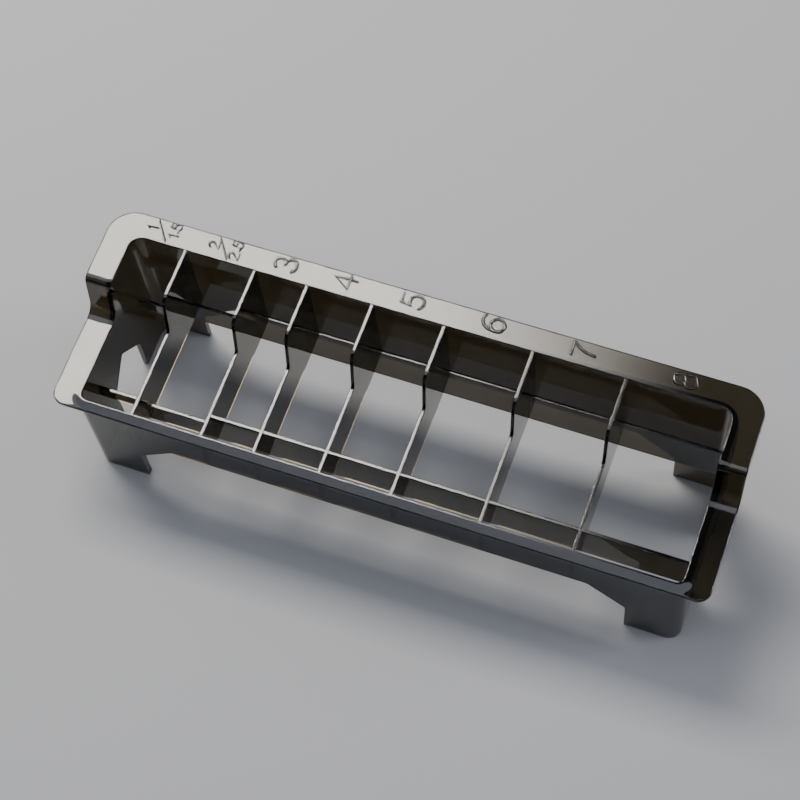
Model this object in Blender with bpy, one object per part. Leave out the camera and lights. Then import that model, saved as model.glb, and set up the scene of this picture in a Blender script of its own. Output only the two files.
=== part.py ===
"""Storage tray for clipper guard combs.

A long stepped tray with eight upright compartments, open above and below. Seven thin dividers
part the compartments, and two rest bars across each one carry the guard combs. A flange runs
round the rear and both ends, a narrow rim runs along the front, and four corner legs stand the
tray on a table, with an arch between each pair of legs.

The real tray is one moulding. Each section of it is its own closed solid here, parted from the
next by a hairline gap. Frame: +X to the right along the tray, +Y to the rear, +Z up. The origin
is on the table under the middle of the tray.
"""

from math import cos, degrees, radians, sin, sqrt, tan

import bmesh
import bpy

# Overall size, in metres.
LENGTH = 0.2225
DEPTH = 0.066
HEIGHT = 0.0645
LOW_LEVEL = 0.0475

# Sections of the moulding.
WALL = 0.0018
FRONT_WALL = 0.0023
FLANGE = 0.0018
END_FLANGE_WIDTH = 0.0094
REAR_FLANGE_WIDTH = 0.0088
FRONT_RIM_WIDTH = 0.0038
DIVIDER = 0.0012
GAP = 0.0003

# Corners seen from above: inner radius at the rear and at the front, outer radius of the flange.
REAR_CORNER = 0.0045
FRONT_CORNER = 0.0025
FLANGE_FRONT_CORNER = 0.0045

# Legs and the arches between them.
LEG_WIDTH = 0.0186
SHOULDER_RUN = 0.013
SHOULDER_LEVEL = 0.0165
ARCH_LEVEL = 0.028

# The step from the high rear part down to the low front part, seen from the end.
STEP_ANGLE = radians(81)
END_STEP_START = 0.0071
END_STEP_TOP_RADIUS = 0.0032
END_STEP_FOOT_RADIUS = 0.0045
DIVIDER_STEP_START = 0.0077
DIVIDER_STEP_TOP_RADIUS = 0.0035
DIVIDER_STEP_FOOT_RADIUS = 0.0012

# Compartments from left to right: the clear width of all but the last, which takes what is left.
COMPARTMENT_WIDTHS = (0.01805, 0.0232, 0.0171, 0.0213, 0.0233, 0.0285, 0.0294)
DIVIDER_FOOT = 0.030

# Rest bars: the usual top level, thickness and places, then those of the first two compartments.
REST_BAR = 0.0012
REAR_REST_Y = 0.0171
FRONT_REST_Y = -0.0218
SHORT_COMB_REST_LEVEL = 0.0362
SHORT_COMB_REAR_REST_Y = 0.0153
SHORT_COMB_FRONT_REST_Y = -0.0193
MIDDLE_COMB_REST_LEVEL = 0.0409

# Places that follow from the sizes above.
INNER_X = LENGTH / 2 - END_FLANGE_WIDTH
OUTER_X = INNER_X + WALL
REAR_INNER_Y = DEPTH / 2 - REAR_FLANGE_WIDTH
REAR_OUTER_Y = REAR_INNER_Y + WALL
FRONT_INNER_Y = -DEPTH / 2 + FRONT_RIM_WIDTH
FRONT_OUTER_Y = FRONT_INNER_Y - FRONT_WALL
HIGH_WALL_TOP = HEIGHT - FLANGE - GAP
LOW_WALL_TOP = LOW_LEVEL - FLANGE - GAP
ARC_STEPS = 6

SMOKE = (0.055, 0.048, 0.040, 1.0)


def clear_scene():
    for item in list(bpy.data.objects):
        bpy.data.objects.remove(item, do_unlink=True)


def smoked_polystyrene(name):
    """Dark see-through plastic with a polished face."""
    material = bpy.data.materials.new(name + "_plastic")
    material.use_nodes = True
    shader = material.node_tree.nodes["Principled BSDF"]
    shader.inputs["Base Color"].default_value = SMOKE
    shader.inputs["Roughness"].default_value = 0.12
    shader.inputs["Metallic"].default_value = 0.0
    return material


def finish_mesh(name, mesh_data, place, parent):
    """Turn a bmesh into a named object at its place in the tray."""
    bmesh.ops.recalc_face_normals(mesh_data, faces=mesh_data.faces)
    mesh = bpy.data.meshes.new(name)
    mesh_data.to_mesh(mesh)
    mesh_data.free()
    piece = bpy.data.objects.new(name, mesh)
    bpy.context.scene.collection.objects.link(piece)
    piece.location = place
    piece.parent = parent
    mesh.materials.append(smoked_polystyrene(name))
    return piece


def prism(name, outline, axis, thickness, place, parent):
    """Extrude a flat outline along X, Y or Z, half the thickness to each side of its place."""
    build = bmesh.new()
    half = thickness / 2
    if axis == "X":
        base = [build.verts.new((-half, a, b)) for a, b in outline]
        push = (thickness, 0, 0)
    elif axis == "Y":
        base = [build.verts.new((a, -half, b)) for a, b in outline]
        push = (0, thickness, 0)
    else:
        base = [build.verts.new((a, b, -half)) for a, b in outline]
        push = (0, 0, thickness)
    face = build.faces.new(base)
    raised = bmesh.ops.extrude_face_region(build, geom=[face])
    top = [item for item in raised["geom"] if isinstance(item, bmesh.types.BMVert)]
    bmesh.ops.translate(build, vec=push, verts=top)
    return finish_mesh(name, build, place, parent)


def loft(name, sections, parent):
    """Join equal rings of points, one after the other, into one closed solid."""
    build = bmesh.new()
    rings = [[build.verts.new(point) for point in section] for section in sections]
    count = len(rings[0])
    for near, far in zip(rings, rings[1:]):
        for i in range(count):
            j = (i + 1) % count
            build.faces.new((near[i], near[j], far[j], far[i]))
    build.faces.new(rings[0])
    build.faces.new(reversed(rings[-1]))
    return finish_mesh(name, build, (0, 0, 0), parent)


def rectangle(low_a, high_a, low_b, high_b):
    return [(low_a, low_b), (high_a, low_b), (high_a, high_b), (low_a, high_b)]


def arc(centre_a, centre_b, radius, start, end):
    """Points along a circular arc, both ends included. Angles are in degrees."""
    points = []
    for i in range(ARC_STEPS + 1):
        angle = radians(start + (end - start) * i / ARC_STEPS)
        points.append((centre_a + radius * cos(angle), centre_b + radius * sin(angle)))
    return points


def step_profile(start_y, top_radius, foot_radius, inset=0.0):
    """The step's line in Y and Z, from the high level forward and down to the low level.

    It is a convex round, a steep straight and a concave round. An inset moves the line into the
    material by that distance, as the underside of a flange lies under its top.
    """
    turn = 90 - degrees(STEP_ANGLE)
    drop_in_arcs = (top_radius + foot_radius) * (1 - cos(STEP_ANGLE))
    straight_run = (HEIGHT - LOW_LEVEL - drop_in_arcs) / tan(STEP_ANGLE)
    foot_y = start_y - (top_radius + foot_radius) * sin(STEP_ANGLE) - straight_run
    line = arc(start_y, HEIGHT - top_radius, top_radius - inset, 90, 180 - turn)
    line += arc(foot_y, LOW_LEVEL + foot_radius, foot_radius + inset, -turn, -90)
    return line


def make_flanges(parent):
    """The rear flange, the two stepped end flanges and the narrow front rim."""
    corner_y = DEPTH / 2 - REAR_FLANGE_WIDTH
    half = LENGTH / 2
    outline = arc(half - REAR_FLANGE_WIDTH, corner_y, REAR_FLANGE_WIDTH, 0, 90)
    outline += arc(-half + REAR_FLANGE_WIDTH, corner_y, REAR_FLANGE_WIDTH, 90, 180)
    prism("rear_flange", outline, "Z", FLANGE, (0, 0, HEIGHT - FLANGE / 2), parent)

    for name, side in (("left_flange", -1), ("right_flange", 1)):
        loft(name, end_flange_sections(side), parent)

    rim_half = INNER_X - FRONT_CORNER - GAP
    outline = rectangle(-rim_half, rim_half, -DEPTH / 2, FRONT_INNER_Y)
    prism("front_rim", outline, "Z", FLANGE, (0, 0, LOW_LEVEL - FLANGE / 2), parent)


def end_flange_sections(side):
    """Cross-sections of an end flange from its rear end to its rounded front end."""
    rear_end = REAR_INNER_Y - GAP
    top = [(y, HEIGHT) for y in fillet_stations(rear_end, REAR_CORNER)]
    under = [(y, HEIGHT - FLANGE) for y, _ in top]
    top += step_profile(END_STEP_START, END_STEP_TOP_RADIUS, END_STEP_FOOT_RADIUS)
    under += step_profile(END_STEP_START, END_STEP_TOP_RADIUS, END_STEP_FOOT_RADIUS, FLANGE)
    for y in front_stations():
        top.append((y, LOW_LEVEL))
        under.append((y, LOW_LEVEL - FLANGE))
    sections = []
    for (top_y, top_z), (under_y, under_z) in zip(top, under):
        outer = side * outer_edge_x(top_y)
        inner = side * inner_edge_x(top_y)
        section = [(outer, top_y, top_z), (inner, top_y, top_z)]
        section += [(inner, under_y, under_z), (outer, under_y, under_z)]
        sections.append(section)
    return sections


def fillet_stations(rear_end, radius):
    """Places along Y round the rear inner corner, rear end first."""
    places = [rear_end]
    for i in range(1, ARC_STEPS + 1):
        places.append(REAR_INNER_Y - radius + radius * cos(radians(90 * i / ARC_STEPS)))
    return [place for place in places if place <= rear_end]


def front_stations():
    """Places along Y round the front corners, rear end first."""
    inner_centre = FRONT_INNER_Y + FRONT_CORNER
    outer_centre = -DEPTH / 2 + FLANGE_FRONT_CORNER
    places = set()
    for i in range(ARC_STEPS + 1):
        places.add(inner_centre - FRONT_CORNER * sin(radians(90 * i / ARC_STEPS)))
        places.add(outer_centre - FLANGE_FRONT_CORNER * sin(radians(84 * i / ARC_STEPS)))
    places.add(-DEPTH / 2)
    return sorted(places, reverse=True)


def outer_edge_x(y):
    """Half-length of the flange's outer edge at y, round at the front end."""
    past = -DEPTH / 2 + FLANGE_FRONT_CORNER - y
    if past <= 0:
        return LENGTH / 2
    return LENGTH / 2 - FLANGE_FRONT_CORNER + sqrt(max(FLANGE_FRONT_CORNER**2 - past**2, 0.0))


def inner_edge_x(y):
    """Half-length of the flange's inner edge at y, with a fillet at both of its corners."""
    past_rear = y - (REAR_INNER_Y - REAR_CORNER)
    past_front = (FRONT_INNER_Y + FRONT_CORNER) - y
    if past_rear > 0:
        return INNER_X - REAR_CORNER + sqrt(max(REAR_CORNER**2 - past_rear**2, 0.0))
    if past_front > 0:
        return INNER_X - FRONT_CORNER + sqrt(max(FRONT_CORNER**2 - past_front**2, 0.0))
    return INNER_X


def make_legs(parent):
    """Four corner posts. Each is an upright angle that stands on the table and has a slanted
    shoulder on its long side, where the arch begins."""
    rear = (REAR_OUTER_Y, 1, REAR_CORNER, WALL, HIGH_WALL_TOP)
    front = (FRONT_OUTER_Y, -1, FRONT_CORNER, FRONT_WALL, LOW_WALL_TOP)
    for end_name, side in (("left", -1), ("right", 1)):
        for row_name, (face_y, facing, radius, thick, top) in (("rear", rear), ("front", front)):
            name = row_name + "_" + end_name + "_leg"
            outline = []
            for along, across in corner_outline(radius, thick):
                outline.append((side * (OUTER_X - along), face_y - facing * across))
            leg = prism(name, outline, "Z", top, (0, 0, top / 2), parent)
            cut_shoulder(leg, name, side, face_y - facing * thick / 2, thick, parent)


def corner_outline(radius, thick):
    """An angle seen from above: along runs down the long wall, across down the end wall.

    The radius is the inner corner's, and thick is the long wall's thickness.
    """
    reach = LEG_WIDTH + SHOULDER_RUN
    outer = radius + WALL
    outline = [(reach, 0)]
    outline += arc(outer, outer, outer, 270, 180)
    outline += [(0, LEG_WIDTH), (WALL, LEG_WIDTH)]
    outline += arc(WALL + radius, thick + radius, radius, 180, 270)
    outline.append((reach, thick))
    return outline


def cut_shoulder(leg, name, side, middle_y, thick, parent):
    """Cut away what lies under the shoulder's slope."""
    spare = 0.001
    slope = (ARCH_LEVEL - SHOULDER_LEVEL) / SHOULDER_RUN
    reach = LEG_WIDTH + SHOULDER_RUN + spare
    corners = [(LEG_WIDTH, -spare), (LEG_WIDTH, SHOULDER_LEVEL)]
    corners += [(reach, ARCH_LEVEL + slope * spare), (reach, -spare)]
    outline = [(side * (OUTER_X - along), height) for along, height in corners]
    cutter = prism(name + "_cutter", outline, "Y", thick + 2 * spare, (0, middle_y, 0), parent)
    cutter.hide_render = True
    cutter.display_type = "WIRE"
    cut = leg.modifiers.new("shoulder", "BOOLEAN")
    cut.operation = "DIFFERENCE"
    cut.solver = "EXACT"
    cut.object = cutter


def make_walls(parent):
    """The panels between the legs, under the flanges and over the arches."""
    half = OUTER_X - LEG_WIDTH - SHOULDER_RUN - GAP
    outline = rectangle(-half, half, ARCH_LEVEL, HIGH_WALL_TOP)
    prism("rear_wall", outline, "Y", WALL, (0, REAR_INNER_Y + WALL / 2, 0), parent)
    outline = rectangle(-half, half, ARCH_LEVEL, LOW_WALL_TOP)
    prism("front_wall", outline, "Y", FRONT_WALL, (0, FRONT_INNER_Y - FRONT_WALL / 2, 0), parent)

    rear_edge = REAR_OUTER_Y - LEG_WIDTH - GAP
    front_edge = FRONT_OUTER_Y + LEG_WIDTH + GAP
    peak = (rear_edge + front_edge) / 2
    outline = [(front_edge, SHOULDER_LEVEL), (peak, ARCH_LEVEL), (rear_edge, SHOULDER_LEVEL)]
    outline.append((rear_edge, HIGH_WALL_TOP))
    depth_under = FLANGE + GAP
    top_line = step_profile(
        END_STEP_START, END_STEP_TOP_RADIUS, END_STEP_FOOT_RADIUS, depth_under
    )
    outline += [point for point in top_line if point[0] < rear_edge]
    outline.append((front_edge, LOW_WALL_TOP))
    for name, side in (("left_end_wall", -1), ("right_end_wall", 1)):
        prism(name, outline, "X", WALL, (side * (INNER_X + WALL / 2), 0, 0), parent)


def divider_places():
    """Middle of each divider along X."""
    places = []
    edge = -INNER_X
    for width in COMPARTMENT_WIDTHS:
        edge += width + DIVIDER
        places.append(edge - DIVIDER / 2)
    return places


def make_dividers(parent):
    """Seven thin plates with the same stepped outline, high at the rear and low at the front."""
    rear_end = REAR_INNER_Y - GAP
    front_end = FRONT_INNER_Y + GAP
    outline = [(rear_end, DIVIDER_FOOT), (rear_end, HEIGHT)]
    outline += step_profile(
        DIVIDER_STEP_START, DIVIDER_STEP_TOP_RADIUS, DIVIDER_STEP_FOOT_RADIUS
    )
    outline += [(front_end, LOW_LEVEL), (front_end, DIVIDER_FOOT)]
    for number, place in enumerate(divider_places(), start=1):
        prism("divider_" + str(number), outline, "X", DIVIDER, (place, 0, 0), parent)


def rest_bar_setting(number):
    """Top level and the two places along Y of a compartment's rest bars."""
    if number == 1:
        return SHORT_COMB_REST_LEVEL, SHORT_COMB_REAR_REST_Y, SHORT_COMB_FRONT_REST_Y
    if number == 2:
        return MIDDLE_COMB_REST_LEVEL, REAR_REST_Y, FRONT_REST_Y
    return LOW_LEVEL, REAR_REST_Y, FRONT_REST_Y


def make_rest_bars(parent):
    """Two upright bars across each compartment, on which a guard comb rests."""
    places = divider_places()
    left_edges = [-INNER_X] + [place + DIVIDER / 2 for place in places]
    right_edges = [place - DIVIDER / 2 for place in places] + [INNER_X]
    for number, (left, right) in enumerate(zip(left_edges, right_edges), start=1):
        level, rear_y, front_y = rest_bar_setting(number)
        outline = rectangle(left + GAP, right - GAP, DIVIDER_FOOT, level)
        for row_name, y in (("rear", rear_y), ("front", front_y)):
            name = row_name + "_rest_bar_" + str(number)
            prism(name, outline, "Y", REST_BAR, (0, y, 0), parent)


clear_scene()
tray = bpy.data.objects.new("guard_tray", None)
bpy.context.scene.collection.objects.link(tray)
make_flanges(tray)
make_legs(tray)
make_walls(tray)
make_dividers(tray)
make_rest_bars(tray)
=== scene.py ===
"""Storage tray for clipper guard combs, moulded in one piece from smoky see-through polystyrene.

The sections follow the moulding: the flange with its walls and legs, the dividers, the rest bars
and the raised numbers. They are then joined into the one piece that comes out of the mould.
Lengths are in metres. +X is to the right along the tray, +Y to the high rear edge, +Z up.
"""

from math import atan2, cos, degrees, radians, sin, sqrt, tan

import bmesh
import bpy
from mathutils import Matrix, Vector


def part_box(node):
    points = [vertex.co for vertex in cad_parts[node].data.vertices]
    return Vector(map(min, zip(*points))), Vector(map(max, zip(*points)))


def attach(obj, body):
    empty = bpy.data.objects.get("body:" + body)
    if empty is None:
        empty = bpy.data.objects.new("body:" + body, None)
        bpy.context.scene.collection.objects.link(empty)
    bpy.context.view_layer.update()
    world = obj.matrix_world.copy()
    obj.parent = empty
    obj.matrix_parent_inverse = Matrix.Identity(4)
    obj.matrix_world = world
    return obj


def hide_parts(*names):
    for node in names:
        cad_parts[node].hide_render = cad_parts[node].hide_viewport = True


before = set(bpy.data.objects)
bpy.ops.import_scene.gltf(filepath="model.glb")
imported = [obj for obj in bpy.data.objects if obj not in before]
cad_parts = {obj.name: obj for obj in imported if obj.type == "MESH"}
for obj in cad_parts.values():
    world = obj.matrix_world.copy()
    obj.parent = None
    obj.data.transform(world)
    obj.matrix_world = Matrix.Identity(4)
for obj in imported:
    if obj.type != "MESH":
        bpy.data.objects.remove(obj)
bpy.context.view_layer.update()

# ---------------------------------------------------------------------------------------------
# The flange, the walls and the legs. On the real tray they are one continuous skin of smoky
# polystyrene: the flange lies round the top of the upright walls, and the walls are cut away in
# arches so that they end in four corner legs. The mould gives every edge a small rounding.

rear_flange_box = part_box("rear_flange")
right_flange_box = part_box("right_flange")
front_rim_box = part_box("front_rim")
rear_wall_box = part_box("rear_wall")
front_wall_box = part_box("front_wall")
right_wall_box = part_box("right_end_wall")

HIGH_LEVEL = rear_flange_box[1].z
LOW_LEVEL = front_rim_box[1].z
INNER_X = right_wall_box[0].x
WALL_OUTER_X = right_wall_box[1].x
OUTER_X = right_flange_box[1].x
REAR_INNER_Y = rear_wall_box[0].y
REAR_OUTER_Y = rear_flange_box[1].y
FRONT_INNER_Y = front_wall_box[1].y
FRONT_OUTER_Y = front_rim_box[0].y
FRONT_WALL = front_wall_box[1].y - front_wall_box[0].y
WALL = WALL_OUTER_X - INNER_X

FLANGE_THICKNESS = 0.0017
INNER_FRONT_RADIUS = 0.0025
INNER_REAR_RADIUS = 0.0045
OUTER_FRONT_RADIUS = 0.0045
OUTER_REAR_RADIUS = 0.0095
LIP_ROUNDING = 0.00032
EDGE_ROUNDING = 0.00055
UNDERSIDE_FILLET = 0.0005
LIP_CREST = 0.0006

# The slope from the flange's inner lip down to its flat band, as (width, drop), at each side.
FRONT_SLOPE = (0.0031, 0.00045)
END_SLOPE = (0.0040, 0.00035)
REAR_SLOPE = (0.0026, 0.00007)

STEP_ANGLE = 81.0
END_STEP_START = 0.0071
END_STEP_TOP_RADIUS = 0.0032
END_STEP_FOOT_RADIUS = 0.0045
ARC_STEPS = 10
SMALL_ARC_STEPS = 3
SLOPE_STEPS = 5
EDGE_STEPS = 4
# How fast the slope of the end flange turns into that of the rear flange or the front rim.
REAR_TURN = 0.35
FRONT_TURN = 3
SECTION_SPACING = 0.8


def round_point(centre, radius, angle):
    """The point of a circle at this angle, in degrees."""
    return (centre[0] + radius * cos(radians(angle)), centre[1] + radius * sin(radians(angle)))


def arc(centre, radius, start, end, steps=ARC_STEPS):
    """Points along a circular arc, both ends included. Angles are in degrees."""
    turn = (end - start) / steps
    return [round_point(centre, radius, start + turn * i) for i in range(steps + 1)]


def step_line(start_y, top_radius, foot_radius, inset=0.0):
    """The step from the high level down to the low one, as (y, z, slope of the face) points.

    It is a convex round, a steep straight and a concave round. An inset moves it into the plastic.
    """
    angle = radians(STEP_ANGLE)
    in_arcs = (top_radius + foot_radius) * (1 - cos(angle))
    run = (HIGH_LEVEL - LOW_LEVEL - in_arcs) / tan(angle)
    foot_y = start_y - (top_radius + foot_radius) * sin(angle) - run
    top_centre = HIGH_LEVEL - top_radius
    foot_centre = LOW_LEVEL + foot_radius
    line = []
    for i in range(ARC_STEPS + 1):
        lean = STEP_ANGLE * i / ARC_STEPS
        line.append((*round_point((start_y, top_centre), top_radius - inset, 90 + lean), lean))
    for i in range(ARC_STEPS + 1):
        lean = STEP_ANGLE * (1 - i / ARC_STEPS)
        line.append((*round_point((foot_y, foot_centre), foot_radius + inset, lean - 90), lean))
    return line


def flange_outline(lateral_angle, width, wall):
    """The flange's cross-section as (distance out, height from the lip's top) points.

    It runs from the inner face, over the lip, the slope, the flat band and the outer edge, and
    back along the underside to the wall's outer face.
    """
    share = (abs(lateral_angle) / 90) ** (REAR_TURN if lateral_angle > 0 else FRONT_TURN)
    other = REAR_SLOPE if lateral_angle > 0 else FRONT_SLOPE
    run = END_SLOPE[0] + (other[0] - END_SLOPE[0]) * share
    drop = END_SLOPE[1] + (other[1] - END_SLOPE[1]) * share
    run = min(run, width - EDGE_ROUNDING - 0.0001)
    points = arc((LIP_ROUNDING, -LIP_ROUNDING), LIP_ROUNDING, 180, 90, SMALL_ARC_STEPS)
    for i in range(SLOPE_STEPS + 1):
        t = i / SLOPE_STEPS
        points.append((LIP_CREST + (run - LIP_CREST) * t, -drop * t * t * (3 - 2 * t)))
    edge = EDGE_ROUNDING
    points += arc((width - edge, -drop - edge), edge, 90, 0, EDGE_STEPS)
    under = -drop - FLANGE_THICKNESS
    points += arc((width - edge, under + edge), edge, 0, -90, EDGE_STEPS)
    fillet = UNDERSIDE_FILLET
    points += arc((wall + fillet, under - fillet), fillet, 90, 180, SMALL_ARC_STEPS)
    return points


def ring_section(inner, lateral_angle, width, wall, level, lean):
    """One cross-section of the skin in space, from the foot of the wall, over the flange, to the foot.

    lean turns the flange's upward direction forward, as on the face of the step.
    """
    out_x, out_y = cos(radians(lateral_angle)), sin(radians(lateral_angle))
    up_y, up_z = -sin(radians(lean)), cos(radians(lean))
    points = [(inner[0], inner[1], 0.0)]
    for out, height in flange_outline(lateral_angle, width, wall):
        x = inner[0] + out_x * out
        y = inner[1] + out_y * out + up_y * height
        points.append((x, y, level + up_z * height))
    points.append((inner[0] + out_x * wall, inner[1] + out_y * wall, 0.0))
    return points


def corner_sections(centre, inner_radius, outer_centre, outer_radius, first_angle, level, walls):
    """Cross-sections round a corner. They fan out from the centre of the inner rounding."""
    angles = [first_angle + 90 * i / ARC_STEPS for i in range(ARC_STEPS + 1)]
    for x, y in arc(outer_centre, outer_radius, first_angle, first_angle + 90):
        angles.append(degrees(atan2(y - centre[1], x - centre[0])))
    spaced = []
    for angle in sorted(angles):
        if not spaced or angle - spaced[-1] > SECTION_SPACING:
            spaced.append(angle)
    spaced[-1] = first_angle + 90
    sections = []
    for angle in spaced:
        along = Vector((cos(radians(angle)), sin(radians(angle))))
        reach = min(
            (OUTER_X - centre[0]) / max(along.x, 1e-9),
            (REAR_OUTER_Y if along.y > 0 else -FRONT_OUTER_Y) / max(abs(along.y), 1e-9)
            - (centre[1] / along.y if abs(along.y) > 1e-9 else 0.0),
        )
        to_outer = Vector((outer_centre[0] - centre[0], outer_centre[1] - centre[1]))
        beside = to_outer.x * along.y - to_outer.y * along.x
        if abs(beside) < outer_radius:
            round_reach = to_outer.dot(along) + sqrt(outer_radius**2 - beside**2)
            at = along * round_reach - to_outer
            low, high = first_angle, first_angle + 90
            if low - 0.01 <= degrees(atan2(at.y, at.x)) <= high + 0.01:
                reach = min(reach, round_reach)
        share = (angle - first_angle) / 90
        wall = walls[0] + (walls[1] - walls[0]) * share
        inner = (centre[0] + inner_radius * along.x, centre[1] + inner_radius * along.y)
        sections.append(ring_section(inner, angle, reach - inner_radius, wall, level, 0.0))
    return sections


def right_half_sections():
    """Cross-sections of the skin's right half, from the front rim round the end to the rear."""
    front_centre = (INNER_X - INNER_FRONT_RADIUS, FRONT_INNER_Y + INNER_FRONT_RADIUS)
    rear_centre = (INNER_X - INNER_REAR_RADIUS, REAR_INNER_Y - INNER_REAR_RADIUS)
    front_outer = (OUTER_X - OUTER_FRONT_RADIUS, FRONT_OUTER_Y + OUTER_FRONT_RADIUS)
    rear_outer = (OUTER_X - OUTER_REAR_RADIUS, REAR_OUTER_Y - OUTER_REAR_RADIUS)
    sections = corner_sections(
        front_centre, INNER_FRONT_RADIUS, front_outer, OUTER_FRONT_RADIUS,
        -90, LOW_LEVEL, (FRONT_WALL, WALL),
    )
    line = step_line(END_STEP_START, END_STEP_TOP_RADIUS, END_STEP_FOOT_RADIUS)
    for y, z, lean in reversed(line):
        sections.append(ring_section((INNER_X, y), 0.0, OUTER_X - INNER_X, WALL, z, lean))
    sections += corner_sections(
        rear_centre, INNER_REAR_RADIUS, rear_outer, OUTER_REAR_RADIUS,
        0, HIGH_LEVEL, (WALL, WALL),
    )
    return sections


def solid_from_rings(name, rings, closed=False):
    """Skin equal rings of points, one after the other, into one closed solid."""
    build = bmesh.new()
    loops = [[build.verts.new(point) for point in ring] for ring in rings]
    count = len(loops[0])
    pairs = list(zip(loops, loops[1:]))
    if closed:
        pairs.append((loops[-1], loops[0]))
    for near, far in pairs:
        for i in range(count):
            j = (i + 1) % count
            build.faces.new((near[i], near[j], far[j], far[i]))
    if not closed:
        build.faces.new(loops[0])
        build.faces.new(reversed(loops[-1]))
    bmesh.ops.recalc_face_normals(build, faces=build.faces)
    return solid_from_build(name, build)


def solid_from_build(name, build):
    mesh = bpy.data.meshes.new(name)
    build.to_mesh(mesh)
    build.free()
    solid = bpy.data.objects.new(name, mesh)
    bpy.context.scene.collection.objects.link(solid)
    return solid


def combine(solid, other, operation):
    """Join a second solid to the first one, or cut it away, and drop the second."""
    change = solid.modifiers.new("combine", "BOOLEAN")
    change.operation = operation
    change.solver = "MANIFOLD"
    change.object = other
    graph = bpy.context.evaluated_depsgraph_get()
    mesh = bpy.data.meshes.new_from_object(solid.evaluated_get(graph))
    solid.modifiers.clear()
    solid.data = mesh
    bpy.data.objects.remove(other, do_unlink=True)


right_half = right_half_sections()
left_half = [[(-x, y, z) for x, y, z in section] for section in reversed(right_half)]
tray = solid_from_rings("guard_tray_moulding", right_half + left_half, closed=True)

# The arches are cut through the walls. Their inside corners are rounded.
ARCH_LEVEL = rear_wall_box[0].z
SHOULDER_LEVEL = 0.0165
LEG_WIDTH = 0.0186
SHOULDER_RUN = 0.0130
ARCH_CORNER = 0.0016
SHOULDER_CORNER = 0.0008
CUT_EDGE_ROUNDING = 0.0001
SPARE = 0.004


def rounded_corners(corners, radii, steps=4):
    """Round each corner of a flat outline with its own radius. A radius of 0 keeps it sharp."""
    outline = []
    for i, corner in enumerate(corners):
        here = Vector(corner)
        back = (Vector(corners[i - 1]) - here).normalized()
        ahead = (Vector(corners[(i + 1) % len(corners)]) - here).normalized()
        if radii[i] == 0:
            outline.append(tuple(here))
            continue
        half = back.angle(ahead) / 2
        centre = here + (back + ahead).normalized() * (radii[i] / sin(half))
        first = here + back * (radii[i] / tan(half)) - centre
        last = here + ahead * (radii[i] / tan(half)) - centre
        for k in range(steps + 1):
            spoke = first.lerp(last, k / steps).normalized() * radii[i]
            outline.append(tuple(centre + spoke))
    return outline


def cut_arch(corners, radii, axis, low, high):
    """Cut a prism with this outline out of the tray, from low to high along X or Y."""
    outline = rounded_corners(corners, radii)
    if axis == "Y":
        rings = [[(a, place, b) for a, b in outline] for place in (low, high)]
    else:
        rings = [[(place, a, b) for a, b in outline] for place in (low, high)]
    combine(tray, solid_from_rings("arch", rings), "DIFFERENCE")


below = -SPARE
leg_x = WALL_OUTER_X - LEG_WIDTH
arch_x = leg_x - SHOULDER_RUN
long_arch = [(leg_x, below), (leg_x, SHOULDER_LEVEL), (arch_x, ARCH_LEVEL)]
long_arch += [(-x, z) for x, z in reversed(long_arch)]
long_radii = (0, SHOULDER_CORNER, ARCH_CORNER, ARCH_CORNER, SHOULDER_CORNER, 0)
cut_arch(long_arch, long_radii, "Y", FRONT_OUTER_Y - SPARE, FRONT_INNER_Y + SPARE)
cut_arch(long_arch, long_radii, "Y", REAR_INNER_Y - SPARE, REAR_OUTER_Y + SPARE)

rear_leg_y = rear_wall_box[1].y - LEG_WIDTH
front_leg_y = front_wall_box[0].y + LEG_WIDTH
peak_y = (rear_leg_y + front_leg_y) / 2
end_arch = [(front_leg_y, below), (front_leg_y, SHOULDER_LEVEL), (peak_y, ARCH_LEVEL)]
end_arch += [(rear_leg_y, SHOULDER_LEVEL), (rear_leg_y, below)]
end_radii = (0, SHOULDER_CORNER, SHOULDER_CORNER, SHOULDER_CORNER, 0)
for side in (-1, 1):
    ends = sorted((side * (INNER_X - SPARE), side * (WALL_OUTER_X + SPARE)))
    cut_arch(end_arch, end_radii, "X", *ends)


SAME_POINT = 0.000002
SAME_PLANE = 0.02
SHARP_EDGE = 50


def soften_cut_edges(solid, width):
    """Round the edges that the cuts and the feet leave sharp."""
    build = bmesh.new()
    build.from_mesh(solid.data)
    bmesh.ops.remove_doubles(build, verts=build.verts, dist=SAME_POINT)
    bmesh.ops.dissolve_limit(
        build, angle_limit=radians(SAME_PLANE), verts=build.verts, edges=build.edges
    )
    sharp = []
    for edge in build.edges:
        if len(edge.link_faces) == 2 and edge.calc_face_angle() > radians(SHARP_EDGE):
            sharp.append(edge)
    bmesh.ops.bevel(
        build, geom=sharp, offset=width, segments=2, profile=0.5, affect="EDGES",
        clamp_overlap=True, loop_slide=True,
    )
    build.to_mesh(solid.data)
    build.free()


soften_cut_edges(tray, CUT_EDGE_ROUNDING)

# ---------------------------------------------------------------------------------------------
# The dividers: seven thin upright plates with a stepped top edge, moulded with the walls. Their
# free edges are rounded. Their ends run into the walls.

DIVIDER_STEP_START = 0.0077
DIVIDER_STEP_TOP_RADIUS = 0.0035
DIVIDER_STEP_FOOT_RADIUS = 0.0012
PLATE_TOP_DROP = 0.0002
PLATE_ROUNDING = 0.00022
FOOT_ROUNDING = 0.00006
PLATE_ROUNDING_STEPS = 5
IN_WALL = 0.0009

divider_boxes = [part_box("divider_" + str(number)) for number in range(1, 8)]
PLATE_FOOT = divider_boxes[0][0].z


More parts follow.
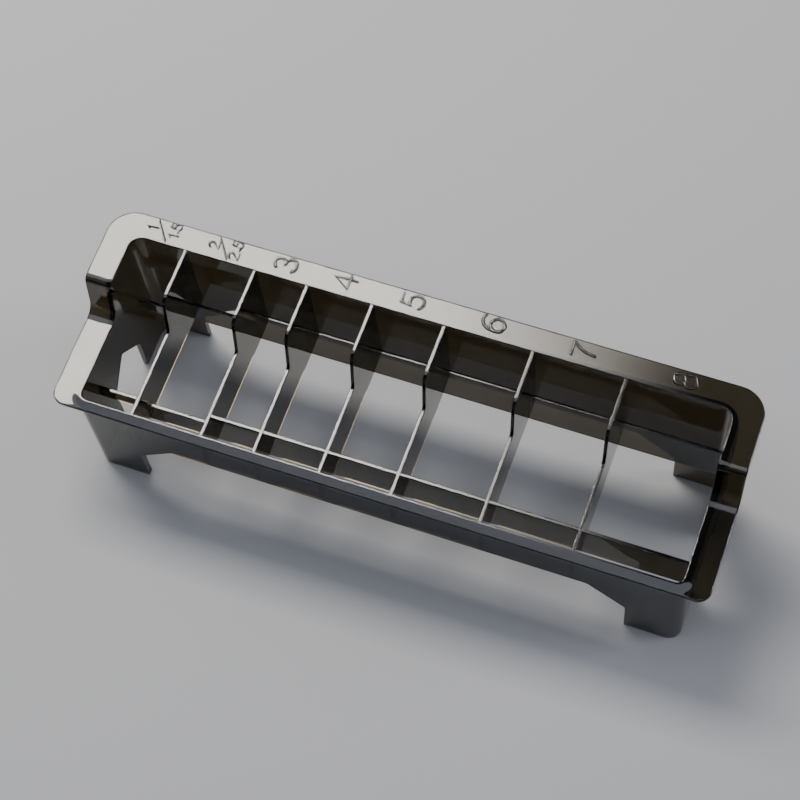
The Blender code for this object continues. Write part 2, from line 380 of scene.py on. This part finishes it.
def rounded_thickness(low, high, rounding):
    """(place, inset) pairs across a plate, so that its edges are rounded on both sides."""
    pairs = []
    quarter = arc((rounding, rounding), rounding, 180, 270, PLATE_ROUNDING_STEPS)
    for along, inset in quarter:
        pairs.append((low + along, inset))
    for along, inset in reversed(quarter):
        pairs.append((high - along, inset))
    return pairs


def divider_outline(inset):
    rear = REAR_INNER_Y + IN_WALL
    front = FRONT_INNER_Y - IN_WALL
    foot = PLATE_FOOT + inset * FOOT_ROUNDING / PLATE_ROUNDING
    high = HIGH_LEVEL - PLATE_TOP_DROP - inset
    low = LOW_LEVEL - PLATE_TOP_DROP - inset
    outline = [(rear, foot), (rear, high)]
    for y, z, _ in step_line(
        DIVIDER_STEP_START, DIVIDER_STEP_TOP_RADIUS, DIVIDER_STEP_FOOT_RADIUS, inset
    ):
        outline.append((y, z - PLATE_TOP_DROP))
    outline += [(front, low), (front, foot)]
    return outline


for number, (low, high) in enumerate(divider_boxes, start=1):
    rings = []
    for x, inset in rounded_thickness(low.x, high.x, PLATE_ROUNDING):
        rings.append([(x, y, z) for y, z in divider_outline(inset)])
    combine(tray, solid_from_rings("divider", rings), "UNION")

# ---------------------------------------------------------------------------------------------
# The rest bars: upright strips across the compartments, in two rows, that carry the guard combs.
# They are moulded with the dividers. The first two compartments have theirs lower down.

IN_PLATE = 0.0007
BAR_TOP_DROP = 0.00035


def add_rest_bar(row, first, last):
    """One bar across the compartments from first to last, with its ends in the plates beside."""
    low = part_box(row + "_rest_bar_" + str(first))[0]
    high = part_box(row + "_rest_bar_" + str(last))[1]
    left = low.x - IN_PLATE
    right = high.x + IN_PLATE
    top = high.z - BAR_TOP_DROP
    corners = [(low.y, low.z), (high.y, low.z), (high.y, top), (low.y, top)]
    radii = (FOOT_ROUNDING, FOOT_ROUNDING, PLATE_ROUNDING, PLATE_ROUNDING)
    outline = rounded_corners(corners, radii, PLATE_ROUNDING_STEPS)
    rings = [[(x, y, z) for y, z in outline] for x in (left, right)]
    combine(tray, solid_from_rings("bar", rings), "UNION")


for row in ("rear", "front"):
    for first, last in ((1, 1), (2, 2), (3, 8)):
        add_rest_bar(row, first, last)

# ---------------------------------------------------------------------------------------------
# The numbers on the rear flange: raised beads in the same plastic, because they were cut into the
# mould with a small round-nosed tool. They read from the front edge to the rear edge.

BIG_HEIGHT = 0.0086
BIG_STROKE = 0.00115
SMALL_HEIGHT = 0.0042
SMALL_STROKE = 0.00075
BEAD_RISE = 0.00045
BEAD_ROOT = 0.0005
NUMBER_MIDDLE_Y = REAR_OUTER_Y - 0.0036
FIGURE_WIDTH = 0.62
SHORTEST_BEAD_STEP = 0.00005
LONGEST_MITRE = 0.75


def ellipse(centre, radii, start, end, steps=14):
    """Points round an ellipse, for the bowls of the numbers. Angles are in degrees."""
    points = []
    for i in range(steps + 1):
        angle = radians(start + (end - start) * i / steps)
        points.append((centre[0] + radii[0] * cos(angle), centre[1] + radii[1] * sin(angle)))
    return points


# Middle lines of the strokes, 1 unit high. The first number of a point is along the reading
# direction and the second is up the figure. True marks a closed loop.
two_bowl = ellipse((0.31, 0.71), (0.29, 0.29), 165, -38)
three_top = ellipse((0.30, 0.755), (0.25, 0.245), 150, -90)
three_foot = ellipse((0.30, 0.27), (0.31, 0.27), 90, -155)
five_bowl = ellipse((0.29, 0.32), (0.32, 0.32), 132, -152)
six_back = ellipse((0.45, 0.42), (0.44, 0.58), 62, 180) + [(0.01, 0.32)]
seven_leg = ellipse((0.95, 0.0), (0.75, 1.05), 128, 180, 8)
STROKES = {
    "1": [([(0.10, 0.76), (0.30, 0.86), (0.34, 1.0), (0.34, 0.0)], False)],
    "2": [(two_bowl + [(0.01, 0.0), (0.61, 0.0)], False)],
    "3": [(three_top, False), (three_foot, False)],
    "4": [([(0.45, 0.0), (0.45, 1.0), (0.0, 0.29), (0.61, 0.29)], False)],
    "5": [([(0.57, 1.0), (0.15, 1.0), (0.075, 0.555)] + five_bowl, False)],
    "6": [(six_back, False), (ellipse((0.31, 0.31), (0.30, 0.31), 0, 360, 24), True)],
    "7": [([(0.0, 1.0), (0.61, 1.0)], False), ([(0.61, 1.0)] + seven_leg, False)],
    "8": [
        (ellipse((0.31, 0.76), (0.25, 0.24), 0, 360, 24), True),
        (ellipse((0.31, 0.27), (0.31, 0.27), 0, 360, 24), True),
    ],
}


def flange_top(y):
    """Height of the rear flange's top face at this place across it."""
    along = (y - REAR_INNER_Y - LIP_CREST) / (REAR_SLOPE[0] - LIP_CREST)
    along = min(max(along, 0.0), 1.0)
    return HIGH_LEVEL - REAR_SLOPE[1] * along * along * (3 - 2 * along)


def bead_section(place, across, width, rise):
    """One cross-section of a bead: a rounded top over a root that sits in the flange."""
    section = []
    for side, height in ((-1, -1), (-1, 0.1), (-0.9, 0.45), (-0.68, 0.75), (-0.36, 0.94), (0, 1)):
        section.append((side, height))
    section += [(-side, height) for side, height in reversed(section[:-1])]
    points = []
    for side, height in section:
        x = place.x + across.x * side * width / 2
        y = place.y + across.y * side * width / 2
        above = height * rise if height > 0 else -BEAD_ROOT
        points.append((x, y, flange_top(y) + above))
    return points


def add_bead(line, width, closed=False):
    """Raise a rounded bead along a line of (x, y) points on the flange."""
    places = [Vector(point) for point in line]
    if closed:
        places = places[:-1]
    kept = [places[0]]
    for place in places[1:]:
        if (place - kept[-1]).length > SHORTEST_BEAD_STEP:
            kept.append(place)
    places = kept
    count = len(places)
    rings = []
    for i, place in enumerate(places):
        before = places[i - 1] if closed or i > 0 else place
        after = places[(i + 1) % count] if closed or i < count - 1 else place
        arriving = (place - before).normalized() if before is not place else None
        leaving = (after - place).normalized() if after is not place else None
        arriving = arriving or leaving
        leaving = leaving or arriving
        along = (arriving + leaving).normalized()
        mitre = 1 / max(along.dot(leaving), LONGEST_MITRE)
        across = Vector((-along.y, along.x)) * mitre
        if not closed and i == 0:
            for turn in (75, 50, 25):
                tip = place - along * (width / 2 * sin(radians(turn)))
                shrink = cos(radians(turn))
                rings.append(bead_section(tip, across, width * shrink, BEAD_RISE * shrink))
        rings.append(bead_section(place, across, width, BEAD_RISE))
        if not closed and i == count - 1:
            for turn in (25, 50, 75):
                tip = place + along * (width / 2 * sin(radians(turn)))
                shrink = cos(radians(turn))
                rings.append(bead_section(tip, across, width * shrink, BEAD_RISE * shrink))
    combine(tray, solid_from_rings("bead", rings, closed), "UNION")


def add_figure(figure, middle_x, front_y, height, stroke):
    """Raise one figure. Its top points to the left end of the tray."""
    unit = height - stroke
    for line, closed in STROKES[figure]:
        points = []
        for along, up in line:
            points.append((middle_x + (0.5 - up) * unit, front_y + stroke / 2 + along * unit))
        add_bead(points, stroke, closed)


edges = [-INNER_X]
for low, high in divider_boxes:
    edges += [low.x, high.x]
edges.append(INNER_X)
middles = [(edges[i] + edges[i + 1]) / 2 for i in range(0, len(edges), 2)]

for figure, middle in zip("345678", middles[2:]):
    width = FIGURE_WIDTH * (BIG_HEIGHT - BIG_STROKE) + BIG_STROKE
    add_figure(figure, middle, NUMBER_MIDDLE_Y - width / 2, BIG_HEIGHT, BIG_STROKE)

# The two narrow compartments take a whole and a half number each, parted by a slanted stroke. Places
# across the flange are measured in from its outer edge.
HALF_SIZE_OFFSET = 0.0038
WHOLE_NUMBER_IN = 0.0054
HALF_NUMBER_IN = {"1": 0.0064, "2": 0.0074}
DOT_IN = 0.0036
DOT_LENGTH = 0.0002
DOT_ABOVE_FOOT = 0.0006
FIVE_IN = 0.0030
SLASH_START = (-0.0027, -0.0010)
SLASH_END = (0.0020, -0.0076)

for figure, middle in zip("12", middles[:2]):
    whole_y = REAR_OUTER_Y - WHOLE_NUMBER_IN
    add_figure(figure, middle - HALF_SIZE_OFFSET, whole_y, SMALL_HEIGHT, SMALL_STROKE)
    slash = [(middle + x, REAR_OUTER_Y + y) for x, y in (SLASH_START, SLASH_END)]
    add_bead(slash, SMALL_STROKE)
    half_x = middle + HALF_SIZE_OFFSET
    half_y = REAR_OUTER_Y - HALF_NUMBER_IN[figure]
    add_figure(figure, half_x, half_y, SMALL_HEIGHT, SMALL_STROKE)
    dot_x = half_x + SMALL_HEIGHT / 2 - SMALL_STROKE / 2 - DOT_ABOVE_FOOT
    dot_y = REAR_OUTER_Y - DOT_IN
    add_bead([(dot_x, dot_y), (dot_x, dot_y + DOT_LENGTH)], SMALL_STROKE)
    add_figure("5", half_x, REAR_OUTER_Y - FIVE_IN, SMALL_HEIGHT, SMALL_STROKE)

# ---------------------------------------------------------------------------------------------
# The finished moulding and its plastic. General-purpose polystyrene, tinted smoky brown-grey all
# through and moulded in a polished tool: glossy, see-through, darker wherever it is thicker.

FINISHED_POINT = 0.000001
ROUNDING_LIMIT = 38
FLAT_LIMIT = 0.15
SMALLEST_AREA = 1e-12
SMALLEST_ANGLE = 0.001

build = bmesh.new()
build.from_mesh(tray.data)
bmesh.ops.remove_doubles(build, verts=build.verts, dist=FINISHED_POINT)
bmesh.ops.dissolve_degenerate(build, edges=build.edges, dist=FINISHED_POINT)
build.to_mesh(tray.data)
build.free()


def smooth_roundings(mesh, limit):
    """Shade the roundings smooth and the flat faces truly flat, up to a limit angle in degrees.

    Each corner takes the mean direction of the faces that meet there. A face counts with the area
    of the whole flat region that it belongs to, so a flat face keeps its own direction.
    """
    build = bmesh.new()
    build.from_mesh(mesh)
    build.faces.ensure_lookup_table()
    reach = cos(radians(limit))
    flat = cos(radians(FLAT_LIMIT))
    weight = [0.0] * len(build.faces)
    for face in build.faces:
        if weight[face.index] > 0:
            continue
        region, waiting, seen = [], [face], {face.index}
        while waiting:
            here = waiting.pop()
            region.append(here)
            for edge in here.edges:
                for other in edge.link_faces:
                    if other.index not in seen and other.normal.dot(face.normal) > flat:
                        seen.add(other.index)
                        waiting.append(other)
        area = sum(part.calc_area() for part in region)
        for part in region:
            weight[part.index] = max(area, SMALLEST_AREA)
    directions = []
    for face in build.faces:
        for corner in face.loops:
            total = Vector((0.0, 0.0, 0.0))
            for other in corner.vert.link_loops:
                if other.face.normal.dot(face.normal) > reach:
                    angle = max(other.calc_angle(), SMALLEST_ANGLE)
                    share = weight[other.face.index] * angle
                    total += other.face.normal * share
            directions.append(total.normalized() if total.length > 0 else face.normal.copy())
    build.free()
    mesh.shade_smooth()
    mesh.normals_split_custom_set(directions)


smooth_roundings(tray.data, ROUNDING_LIMIT)


def linear(code):
    """Linear colour from an sRGB hex code."""
    values = []
    for i in (0, 2, 4):
        value = int(code[i : i + 2], 16) / 255
        values.append(value / 12.92 if value <= 0.04045 else ((value + 0.055) / 1.055) ** 2.4)
    return (*values, 1.0)


def add_node(tree, kind, settings=None, inputs=None):
    """Add a node. settings are its properties, and inputs its sockets' values or links."""
    node = tree.nodes.new(kind)
    for name, value in (settings or {}).items():
        setattr(node, name, value)
    for name, value in (inputs or {}).items():
        if isinstance(value, bpy.types.NodeSocket):
            tree.links.new(value, node.inputs[name])
        else:
            node.inputs[name].default_value = value
    return node


def smoked_polystyrene():
    """Polystyrene bends light with an index of 1.59.

    The tint takes out blue first, so light that travels far inside the plastic comes out amber.
    """
    material = bpy.data.materials.new("smoked_polystyrene")
    material.use_nodes = True
    tree = material.node_tree
    tree.nodes.clear()
    out = add_node(tree, "ShaderNodeOutputMaterial")
    place = add_node(tree, "ShaderNodeTexCoord").outputs["Object"]
    # The melt ran along the tray, so its flow marks are long in X: about 60 mm by 12 mm.
    along = add_node(
        tree, "ShaderNodeMapping", None, {"Vector": place, "Scale": (0.2, 1.0, 1.0)}
    ).outputs["Vector"]
    flow = add_node(
        tree, "ShaderNodeTexNoise", None, {"Vector": along, "Scale": 85.0, "Detail": 2.0}
    ).outputs["Fac"]
    # Fine wear from the combs sliding in and out: patches of about 1 mm.
    wear = add_node(
        tree, "ShaderNodeTexNoise", None, {"Vector": place, "Scale": 900.0, "Detail": 3.0}
    ).outputs["Fac"]
    gloss = add_node(
        tree, "ShaderNodeMapRange", None,
        {"Value": wear, "From Min": 0.35, "From Max": 0.75, "To Min": 0.02, "To Max": 0.085},
    ).outputs["Result"]
    waves = add_node(
        tree, "ShaderNodeBump", None, {"Height": flow, "Strength": 0.5, "Distance": 0.00022}
    ).outputs["Normal"]
    grain = add_node(
        tree, "ShaderNodeBump", None,
        {"Height": wear, "Normal": waves, "Strength": 0.3, "Distance": 0.000008},
    ).outputs["Normal"]
    shader = add_node(
        tree, "ShaderNodeBsdfPrincipled", None,
        {
            "Base Color": linear("FFFFFF"),
            "Transmission Weight": 1.0,
            "IOR": 1.59,
            "Roughness": gloss,
            "Normal": grain,
        },
    )
    tint = add_node(
        tree, "ShaderNodeVolumeAbsorption", None,
        {"Color": (0.30, 0.25, 0.11, 1.0), "Density": 2300.0},
    )
    tree.links.new(shader.outputs["BSDF"], out.inputs["Surface"])
    tree.links.new(tint.outputs["Volume"], out.inputs["Volume"])
    return material


tray.data.materials.clear()
tray.data.materials.append(smoked_polystyrene())
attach(tray, "root")
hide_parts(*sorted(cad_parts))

# ---------------------------------------------------------------------------------------------
# The floor, the light and the camera. The floor is matt pale paper. A large warm softbox hangs
# behind the tray on the left, where the glossy flange mirrors it. A dim one hangs overhead, and a
# small one stands at the right end to draw the edges there.

build = bmesh.new()
bmesh.ops.create_grid(build, x_segments=1, y_segments=1, size=6.0)
floor = solid_from_build("floor", build)
paper = bpy.data.materials.new("pale_paper")
paper.use_nodes = True
paper.node_tree.nodes["Principled BSDF"].inputs["Base Color"].default_value = linear("A8A9AB")
paper.node_tree.nodes["Principled BSDF"].inputs["Roughness"].default_value = 0.85
floor.data.materials.append(paper)

world = bpy.data.worlds.new("studio")
bpy.context.scene.world = world
world.use_nodes = True
world.node_tree.nodes["Background"].inputs["Color"].default_value = linear("D8DADF")
world.node_tree.nodes["Background"].inputs["Strength"].default_value = 0.12


def softbox(name, place, size, colour, power, fade, turn=0.0):
    """A flat rectangular lamp that faces down, or to the left after a turn of 90 degrees.

    It dims over the last part of its length, the fade, as a real softbox does towards its edge.
    """
    lamp = bpy.data.lights.new(name, "AREA")
    lamp.shape = "RECTANGLE"
    lamp.size, lamp.size_y = size
    lamp.energy = power
    lamp.use_nodes = True
    tree = lamp.node_tree
    tree.nodes.clear()
    out = add_node(tree, "ShaderNodeOutputLight")
    place_on = add_node(tree, "ShaderNodeNewGeometry")
    parts = add_node(tree, "ShaderNodeSeparateXYZ", None, {"Vector": place_on.outputs["Parametric"]})
    ramp = add_node(
        tree, "ShaderNodeMapRange", {"interpolation_type": "SMOOTHSTEP"},
        {
            "Value": parts.outputs["X"], "From Min": 1.0, "From Max": 1.0 - fade,
            "To Min": 0.0, "To Max": 1.0,
        },
    )
    glow = add_node(
        tree, "ShaderNodeEmission", None,
        {"Color": linear(colour), "Strength": ramp.outputs["Result"]},
    )
    tree.links.new(glow.outputs["Emission"], out.inputs["Surface"])
    holder = bpy.data.objects.new(name, lamp)
    bpy.context.scene.collection.objects.link(holder)
    holder.location = place
    holder.rotation_euler.y = radians(turn)


softbox("rear_softbox", (-0.46, 0.40, 0.95), (0.98, 0.34), "FFFAF2", 20.0, 0.30)
softbox("overhead_softbox", (-0.22, -0.12, 0.95), (1.45, 0.70), "DFE5F2", 6.5, 0.15)
softbox("side_softbox", (0.95, 0.35, 0.40), (0.60, 0.50), "F4F6FF", 7.0, 0.10, 90.0)

camera = bpy.data.objects.new("camera", bpy.data.cameras.new("camera"))
bpy.context.scene.collection.objects.link(camera)
bpy.context.scene.camera = camera
camera.data.sensor_width = 36.0
camera.data.lens = 94.95
camera.location = (0.13604, -0.25128, 0.66253)
camera.rotation_euler = (radians(24.8435), radians(4.0169), radians(19.917))
